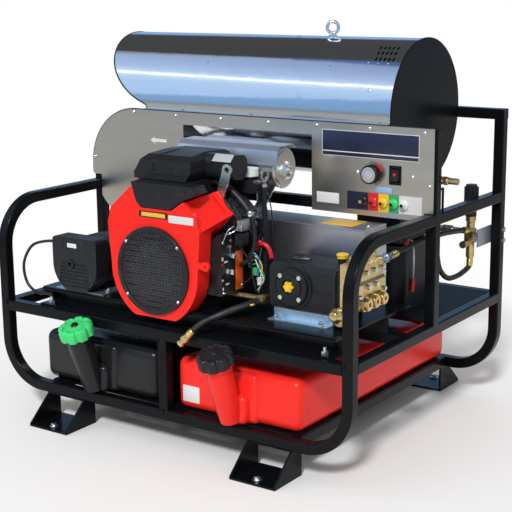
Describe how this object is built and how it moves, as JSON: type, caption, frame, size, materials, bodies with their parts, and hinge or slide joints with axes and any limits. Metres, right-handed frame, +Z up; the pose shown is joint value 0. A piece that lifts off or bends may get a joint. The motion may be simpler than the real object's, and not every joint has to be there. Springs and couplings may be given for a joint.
{
  "type": "hot water pressure washer",
  "caption": "Skid-mounted petrol hot-water pressure washer: engine, plunger pump, generator, heater drum, fuel tanks and control panel in a bent tube frame.",
  "frame": {"origin": "on the floor, at the centre of the four outer foot bolts", "axes": "+X along the skid to the side with the pump and the hose outlet, +Y to the back where the heater drum lies, +Z up"},
  "size_m": [1.301, 1.1132, 1.185],
  "materials": {
    "frame_paint": "gloss black powder coat",
    "black_metal": "satin black paint on cast metal",
    "red_paint": "gloss red paint",
    "alloy": "as cast",
    "bright_steel": "bright plated",
    "machined_steel": "machined",
    "exhaust_steel": "heat tinted steel",
    "stainless": "brushed stainless sheet",
    "panel_steel": "brushed stainless sheet",
    "polished_steel": "polished stainless sheet",
    "pulley_iron": "machined cast iron",
    "brass": "cast and machined brass",
    "zinc": "zinc plated",
    "hose_rubber": "smooth black rubber",
    "black_plastic": "grained black moulding",
    "tank_black": "rotational moulding, black",
    "tank_red": "rotational moulding, red",
    "green_plastic": "moulded green",
    "white_plastic": "moulded white",
    "yellow_plastic": "moulded yellow",
    "switch_plastic": "gloss black with a red mark",
    "navy_plastic": "printed strip, navy",
    "nozzle_dark": "moulded black",
    "nozzle_red": "moulded red",
    "nozzle_yellow": "moulded yellow",
    "nozzle_green": "moulded green",
    "nozzle_white": "moulded white"
  },
  "bodies": {
    "skid": {"front_hoop": "frame_paint", "rear_frame": "frame_paint", "inner_frame": "frame_paint", "tank_tray": "frame_paint", "feet": "frame_paint", "deck_plate": "frame_paint", "engine_bed": "frame_paint", "engine_block": "black_metal", "cylinder_heads": "alloy", "fan_cover": "red_paint", "fan_screen": "black_plastic", "air_cleaner": "black_plastic", "intake_housing": "black_plastic", "engine_panel": "black_plastic", "muffler": "exhaust_steel", "muffler_shield": "stainless", "engine_hoses": "hose_rubber", "drain_fitting": "brass", "belt_guard": "stainless", "drive_belts": "hose_rubber", "pump_crankcase": "black_metal", "bearing_cover": "black_metal", "sight_glass": "yellow_plastic", "pump_manifold": "brass", "valve_caps": "brass", "machine_feet": "zinc", "discharge_fitting": "zinc", "pressure_hoses": "hose_rubber", "generator_body": "black_metal", "generator_cover": "black_metal", "generator_cord": "hose_rubber", "diesel_tank": "tank_black", "petrol_tank": "tank_red", "control_panel": "panel_steel", "panel_box": "frame_paint", "nozzle_holder": "navy_plastic", "drum_wrap": "polished_steel", "drum_caps": "frame_paint", "lifting_eye": "zinc", "unloader_valve": "brass", "battery": "black_plastic", "fasteners": "zinc", "engine_hook": "zinc", "outlet_nipple": "brass", "unloader_bracket": "zinc", "coil_fittings": "zinc", "burner_housing": "black_metal"},
    "crank": {"crank_rotor": "machined_steel"},
    "pump_shaft": {"pump_pulley": "pulley_iron"},
    "generator_shaft": {"generator_pulley": "pulley_iron"},
    "dipstick": {"dipstick": "bright_steel"},
    "diesel_lid": {"diesel_cap": "green_plastic"},
    "petrol_lid": {"petrol_cap": "black_plastic"},
    "filler_lid": {"filler_cap": "white_plastic"},
    "pump_oil_lid": {"pump_oil_cap": "yellow_plastic"},
    "thermostat": {"thermostat_knob": "black_plastic"},
    "rocker": {"rocker_switch": "switch_plastic"},
    "key": {"key_switch": "bright_steel"},
    "choke": {"choke_lever": "bright_steel"},
    "unloader_grip": {"unloader_knob": "black_plastic"},
    "nozzle_a": {"nozzle_a": "nozzle_dark"},
    "nozzle_b": {"nozzle_b": "nozzle_red"},
    "nozzle_c": {"nozzle_c": "nozzle_yellow"},
    "nozzle_d": {"nozzle_d": "nozzle_green"},
    "nozzle_e": {"nozzle_e": "nozzle_white"}
  },
  "joints": [
    {"name": "crank_turn", "type": "hinge", "parent": "skid", "child": "crank", "pos_m": [-0.022, -0.1, 0.51], "axis": [0, 1, 0], "continuous": true},
    {"name": "pump_turn", "type": "hinge", "parent": "skid", "child": "pump_shaft", "pos_m": [0.361, -0.1, 0.496], "axis": [0, 1, 0], "continuous": true},
    {"name": "generator_turn", "type": "hinge", "parent": "skid", "child": "generator_shaft", "pos_m": [-0.34, -0.12, 0.488], "axis": [0, 1, 0], "continuous": true},
    {"name": "dipstick_pull", "type": "slide", "parent": "skid", "child": "dipstick", "axis": [0, 0, 1], "range_m": [0, 0.2]},
    {"name": "diesel_cap_turn", "type": "hinge", "parent": "skid", "child": "diesel_lid", "pos_m": [-0.265, -0.443, 0.12], "axis": [0, -0.342, 0.9397], "range_deg": [0, 120]},
    {"name": "petrol_cap_turn", "type": "hinge", "parent": "skid", "child": "petrol_lid", "pos_m": [0.2375, -0.443, 0.12], "axis": [0, -0.342, 0.9397], "range_deg": [0, 120]},
    {"name": "filler_cap_turn", "type": "hinge", "parent": "skid", "child": "filler_lid", "pos_m": [0.154, -0.228, 0.78], "axis": [0, 0, 1], "range_deg": [0, 330]},
    {"name": "pump_oil_cap_turn", "type": "hinge", "parent": "skid", "child": "pump_oil_lid", "pos_m": [0.466, -0.24, 0.575], "axis": [0, 0, 1], "range_deg": [0, 330]},
    {"name": "thermostat_turn", "type": "hinge", "parent": "skid", "child": "thermostat", "pos_m": [0.43, -0.02, 0.768], "axis": [0, 1, 0], "range_deg": [0, 270]},
    {"name": "rocker_tilt", "type": "hinge", "parent": "skid", "child": "rocker", "pos_m": [0.502, -0.009, 0.769], "axis": [1, 0, 0], "range_deg": [-16, 0]},
    {"name": "key_turn", "type": "hinge", "parent": "skid", "child": "key", "pos_m": [0.175, -0.372, 0.524], "axis": [-1, 0, 0], "range_deg": [0, 90]},
    {"name": "choke_swing", "type": "hinge", "parent": "skid", "child": "choke", "pos_m": [0.175, -0.356, 0.59], "axis": [1, 0, 0], "range_deg": [0, 50]},
    {"name": "unloader_turn", "type": "hinge", "parent": "skid", "child": "unloader_grip", "pos_m": [0.565, 0.35, 0.65], "axis": [0, 0, 1], "range_deg": [0, 330]},
    {"name": "nozzle_a_pull", "type": "slide", "parent": "skid", "child": "nozzle_a", "axis": [0, -1, 0], "range_m": [0, 0.03]},
    {"name": "nozzle_b_pull", "type": "slide", "parent": "skid", "child": "nozzle_b", "axis": [0, -1, 0], "range_m": [0, 0.03]},
    {"name": "nozzle_c_pull", "type": "slide", "parent": "skid", "child": "nozzle_c", "axis": [0, -1, 0], "range_m": [0, 0.03]},
    {"name": "nozzle_d_pull", "type": "slide", "parent": "skid", "child": "nozzle_d", "axis": [0, -1, 0], "range_m": [0, 0.03]},
    {"name": "nozzle_e_pull", "type": "slide", "parent": "skid", "child": "nozzle_e", "axis": [0, -1, 0], "range_m": [0, 0.03]}
  ],
  "couplings": [
    {"joint": "pump_turn", "follows": "crank_turn", "ratio": 0.57895},
    {"joint": "generator_turn", "follows": "crank_turn", "ratio": 1.0625}
  ]
}
